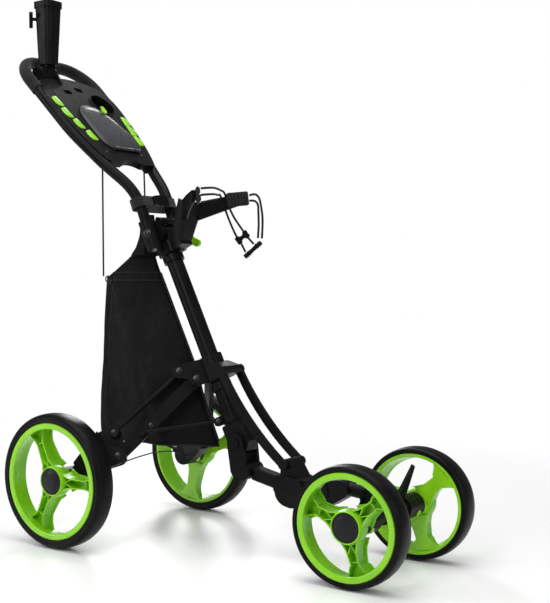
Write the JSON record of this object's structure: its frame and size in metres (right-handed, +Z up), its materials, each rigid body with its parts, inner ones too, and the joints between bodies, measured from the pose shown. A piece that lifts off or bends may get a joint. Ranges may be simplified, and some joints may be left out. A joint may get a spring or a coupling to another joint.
{
  "type": "golf push cart",
  "caption": "Folding four-wheel golf push cart with a sliding-hub leg linkage, fold-down handle with console, umbrella holder, bag cradles, elastic cords and a fabric storage bag",
  "frame": {"origin": "on the floor under the middle of the footprint box", "axes": "+Z up, +Y toward the handle and the two large wheels, -Y toward the two small wheels, X across; the cart's frame is symmetric about X = 0"},
  "size_m": [0.569, 1.0679, 1.245],
  "materials": {
    "frame_paint": "satin black powder coat",
    "black_plastic": "fine-grained moulding",
    "green_plastic": "bright lime",
    "tyre": "soft foam tyre, matte",
    "grip_foam": "foam",
    "steel": "zinc plated",
    "cap_plastic": "dark glossy",
    "lid_plastic": "smoke translucent",
    "bag_fabric": "coated polyester",
    "webbing": "woven nylon",
    "cord": "braided elastic",
    "pad_rubber": "textured",
    "cable": "sheathed"
  },
  "bodies": {
    "frame": {"main_post": "frame_paint", "post_collars": "black_plastic", "hinge_base": "black_plastic", "bag_bracket": "black_plastic", "bracket_pads": "pad_rubber", "foot_casting": "black_plastic", "storage_bag": "bag_fabric", "bag_cords": "cord", "bungee_cord_right": "cord", "bungee_cord_left": "cord", "bungee_slider": "black_plastic", "bungee_hook": "black_plastic"},
    "front_frame": {"front_yoke": "black_plastic", "front_tube": "frame_paint", "front_housing": "black_plastic", "front_crossbeam": "black_plastic", "axle_front": "steel"},
    "hub": {"hub_casting": "black_plastic"},
    "struts": {"strut_right": "black_plastic", "strut_left": "black_plastic"},
    "handle": {"handle_tube": "frame_paint", "handle_grip": "grip_foam", "hinge_head": "black_plastic", "console": "black_plastic", "console_inserts": "green_plastic", "handle_strap": "webbing"},
    "lever": {"hinge_lever": "green_plastic"},
    "lid": {"console_lid": "lid_plastic"},
    "latch": {"lid_latch": "green_plastic"},
    "holder": {"umbrella_socket": "black_plastic"},
    "tilt_knob": {"tilt_knob": "black_plastic"},
    "wing_screw": {"wing_screw": "black_plastic"},
    "pedal": {"brake_pedal": "black_plastic"},
    "carrier_left": {"wheel_carrier_left": "black_plastic", "axle_rear_left": "steel", "brake_cable": "cable"},
    "carrier_right": {"wheel_carrier_right": "black_plastic", "axle_rear_right": "steel"},
    "lower_link_left": {"lower_link_left": "frame_paint"},
    "upper_link_left": {"upper_link_left": "frame_paint"},
    "spreader_left": {"spreader_left": "frame_paint"},
    "lower_link_right": {"lower_link_right": "frame_paint"},
    "upper_link_right": {"upper_link_right": "frame_paint"},
    "spreader_right": {"spreader_right": "frame_paint"},
    "wheel_rear_right": {"tyre_rear_right": "tyre", "rim_rear_right": "green_plastic", "hub_cap_rear_right": "cap_plastic"},
    "button_rear_right": {"release_button_rear_right": "green_plastic"},
    "wheel_rear_left": {"tyre_rear_left": "tyre", "rim_rear_left": "green_plastic", "hub_cap_rear_left": "cap_plastic"},
    "button_rear_left": {"release_button_rear_left": "green_plastic"},
    "wheel_front_right": {"tyre_front_right": "tyre", "rim_front_right": "green_plastic", "hub_cap_front_right": "cap_plastic"},
    "button_front_right": {"release_button_front_right": "green_plastic"},
    "wheel_front_left": {"tyre_front_left": "tyre", "rim_front_left": "green_plastic", "hub_cap_front_left": "cap_plastic"},
    "button_front_left": {"release_button_front_left": "green_plastic"}
  },
  "joints": [
    {"name": "front_fold", "type": "hinge", "parent": "frame", "child": "front_frame", "pos_m": [0, -0.0655, 0.23], "axis": [-1, 0, 0], "range_deg": [0, 112], "deforming": ["brake_cable"]},
    {"name": "hub_slide", "type": "slide", "parent": "frame", "child": "hub", "axis": [0, 0.4317, 0.902], "range_m": [0, 0.22]},
    {"name": "strut_pivot", "type": "hinge", "parent": "hub", "child": "struts", "pos_m": [0, -0.03251, 0.38605], "axis": [1, 0, 0], "range_deg": [0, 15]},
    {"name": "lower_link_pivot_left", "type": "hinge", "parent": "hub", "child": "lower_link_left", "pos_m": [0.0186, 0.04658, 0.3615], "axis": [-0.7696, 0.576, -0.2756], "range_deg": [0, 51.28]},
    {"name": "upper_link_pivot_left", "type": "hinge", "parent": "hub", "child": "upper_link_left", "pos_m": [0.03776, 0.07993, 0.37769], "axis": [-0.7696, 0.576, -0.2756], "range_deg": [0, 61.49]},
    {"name": "spreader_pivot_left", "type": "hinge", "parent": "frame", "child": "spreader_left", "pos_m": [0.01094, -0.00793, 0.26897], "axis": [-0.7696, 0.576, -0.2756], "range_deg": [-60.4, 0]},
    {"name": "carrier_pivot_left", "type": "hinge", "parent": "lower_link_left", "child": "carrier_left", "pos_m": [0.15909, 0.15484, 0.19551], "axis": [-0.7696, 0.576, -0.2756], "range_deg": [-49.75, 0]},
    {"name": "lower_link_pivot_right", "type": "hinge", "parent": "hub", "child": "lower_link_right", "pos_m": [-0.0186, 0.04658, 0.3615], "axis": [-0.7696, -0.576, 0.2756], "range_deg": [0, 51.28]},
    {"name": "upper_link_pivot_right", "type": "hinge", "parent": "hub", "child": "upper_link_right", "pos_m": [-0.03776, 0.07993, 0.37769], "axis": [-0.7696, -0.576, 0.2756], "range_deg": [0, 61.49]},
    {"name": "spreader_pivot_right", "type": "hinge", "parent": "frame", "child": "spreader_right", "pos_m": [-0.01094, -0.00793, 0.26897], "axis": [-0.7696, -0.576, 0.2756], "range_deg": [-60.4, 0]},
    {"name": "carrier_pivot_right", "type": "hinge", "parent": "lower_link_right", "child": "carrier_right", "pos_m": [-0.15909, 0.15484, 0.19551], "axis": [-0.7696, -0.576, 0.2756], "range_deg": [-49.75, 0]},
    {"name": "wheel_spin_rear_right", "type": "hinge", "parent": "carrier_right", "child": "wheel_rear_right", "pos_m": [-0.2595, 0.2445, 0.1475], "axis": [1, 0, 0], "continuous": true},
    {"name": "wheel_spin_rear_left", "type": "hinge", "parent": "carrier_left", "child": "wheel_rear_left", "pos_m": [0.2595, 0.2445, 0.1475], "axis": [1, 0, 0], "continuous": true},
    {"name": "wheel_spin_front_right", "type": "hinge", "parent": "front_frame", "child": "wheel_front_right", "pos_m": [-0.1425, -0.4155, 0.1185], "axis": [1, 0, 0], "continuous": true},
    {"name": "wheel_spin_front_left", "type": "hinge", "parent": "front_frame", "child": "wheel_front_left", "pos_m": [0.1425, -0.4155, 0.1185], "axis": [1, 0, 0], "continuous": true},
    {"name": "release_push_rear_right", "type": "slide", "parent": "carrier_right", "child": "button_rear_right", "axis": [0, 0.8645, 0.5026], "range_m": [0, 0.0025], "stiffness_N_per_m": 400},
    {"name": "release_push_rear_left", "type": "slide", "parent": "carrier_left", "child": "button_rear_left", "axis": [0, 0.8645, 0.5026], "range_m": [0, 0.0025], "stiffness_N_per_m": 400},
    {"name": "release_push_front_right", "type": "slide", "parent": "front_frame", "child": "button_front_right", "axis": [0, 0.8645, 0.5026], "range_m": [0, 0.0025], "stiffness_N_per_m": 400},
    {"name": "release_push_front_left", "type": "slide", "parent": "front_frame", "child": "button_front_left", "axis": [0, 0.8645, 0.5026], "range_m": [0, 0.0025], "stiffness_N_per_m": 400},
    {"name": "handle_fold", "type": "hinge", "parent": "frame", "child": "handle", "pos_m": [0, 0.15378, 0.68823], "axis": [-1, 0, 0], "range_deg": [0, 122], "deforming": ["storage_bag", "bag_cords"]},
    {"name": "lever_swing", "type": "hinge", "parent": "handle", "child": "lever", "pos_m": [0, 0.15378, 0.68823], "axis": [1, 0, 0], "range_deg": [-90, 0]},
    {"name": "lid_lift", "type": "hinge", "parent": "handle", "child": "lid", "pos_m": [0.015, 0.2768, 0.89004], "axis": [1, 0, 0], "range_deg": [0, 100]},
    {"name": "latch_turn", "type": "hinge", "parent": "lid", "child": "latch", "pos_m": [0.04, 0.37664, 0.98821], "axis": [0, -0.7133, 0.7009], "range_deg": [0, 90]},
    {"name": "holder_tilt", "type": "hinge", "parent": "handle", "child": "holder", "pos_m": [-0.058, 0.4725, 1.076], "axis": [1, 0, 0], "range_deg": [0, 45]},
    {"name": "tilt_knob_turn", "type": "hinge", "parent": "handle", "child": "tilt_knob", "pos_m": [-0.08, 0.4725, 1.076], "axis": [-1, 0, 0], "continuous": true},
    {"name": "wing_screw_turn", "type": "hinge", "parent": "holder", "child": "wing_screw", "pos_m": [-0.058, 0.4645, 1.205], "axis": [-0.7071, 0.7071, 0], "continuous": true},
    {"name": "pedal_press", "type": "hinge", "parent": "carrier_left", "child": "pedal", "pos_m": [0.209, 0.2785, 0.157], "axis": [-1, 0, 0], "range_deg": [0, 20]}
  ],
  "couplings": [
    {"joint": "hub_slide", "follows": "front_fold", "m_per_rad": 0.11152},
    {"joint": "strut_pivot", "follows": "front_fold", "ratio": 0.12946},
    {"joint": "lower_link_pivot_left", "follows": "front_fold", "ratio": 0.44888},
    {"joint": "upper_link_pivot_left", "follows": "front_fold", "ratio": 0.5383},
    {"joint": "spreader_pivot_left", "follows": "front_fold", "ratio": -0.52874},
    {"joint": "carrier_pivot_left", "follows": "front_fold", "ratio": -0.43551},
    {"joint": "lower_link_pivot_right", "follows": "front_fold", "ratio": 0.44888},
    {"joint": "upper_link_pivot_right", "follows": "front_fold", "ratio": 0.5383},
    {"joint": "spreader_pivot_right", "follows": "front_fold", "ratio": -0.52874},
    {"joint": "carrier_pivot_right", "follows": "front_fold", "ratio": -0.43551}
  ]
}
